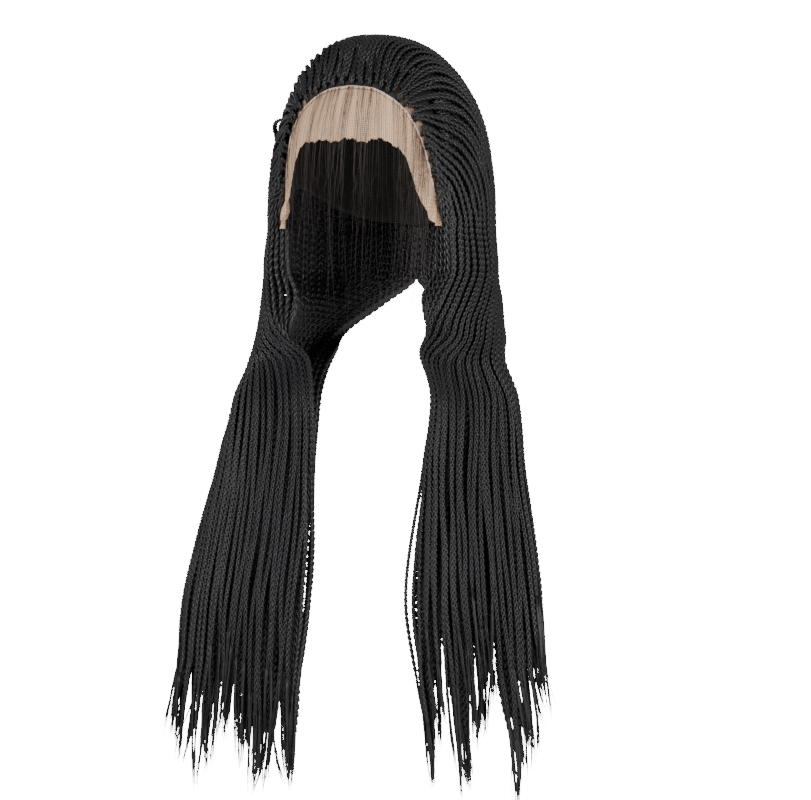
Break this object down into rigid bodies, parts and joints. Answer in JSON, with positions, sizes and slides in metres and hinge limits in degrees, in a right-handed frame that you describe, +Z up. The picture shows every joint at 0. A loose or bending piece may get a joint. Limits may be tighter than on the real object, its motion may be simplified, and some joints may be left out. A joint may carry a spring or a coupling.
{
  "type": "braid wig",
  "caption": "Long black micro braid wig with a lace front, in worn form, braids swept back and brought forward in two falls in front of the shoulders.",
  "frame": {"origin": "top of the wearer's head, on the inside of the cap at its highest point", "axes": "+Z up, the face looks along -Y, +X is the wearer's left"},
  "size_m": [0.368, 0.2013, 0.6509],
  "materials": {
    "black_braid": "plaited synthetic hair, soft sheen",
    "sheer_lace": "sheer hexagonal lace net",
    "seam_tape": "soft woven tape",
    "cap_net": "stretch net"
  },
  "bodies": {
    "root": {"cap": "cap_net", "lace_front": "sheer_lace", "hairline_seam": "seam_tape", "crown_lock_left_1": "black_braid", "crown_lock_left_2": "black_braid", "crown_lock_left_3": "black_braid", "crown_lock_left_4": "black_braid", "crown_lock_left_5": "black_braid", "crown_lock_left_6": "black_braid", "crown_lock_left_7": "black_braid", "crown_lock_left_8": "black_braid", "crown_lock_right_1": "black_braid", "crown_lock_right_2": "black_braid", "crown_lock_right_3": "black_braid", "crown_lock_right_4": "black_braid", "crown_lock_right_5": "black_braid", "crown_lock_right_6": "black_braid", "crown_lock_right_7": "black_braid", "crown_lock_right_8": "black_braid", "fall_lock_left_1": "black_braid", "fall_lock_left_2": "black_braid", "fall_lock_left_3": "black_braid", "fall_lock_left_4": "black_braid", "fall_lock_left_5": "black_braid", "fall_lock_left_6": "black_braid", "fall_lock_left_7": "black_braid", "fall_lock_left_8": "black_braid", "fall_lock_right_1": "black_braid", "fall_lock_right_2": "black_braid", "fall_lock_right_3": "black_braid", "fall_lock_right_4": "black_braid", "fall_lock_right_5": "black_braid", "fall_lock_right_6": "black_braid", "fall_lock_right_7": "black_braid", "fall_lock_right_8": "black_braid"}
  },
  "joints": []
}
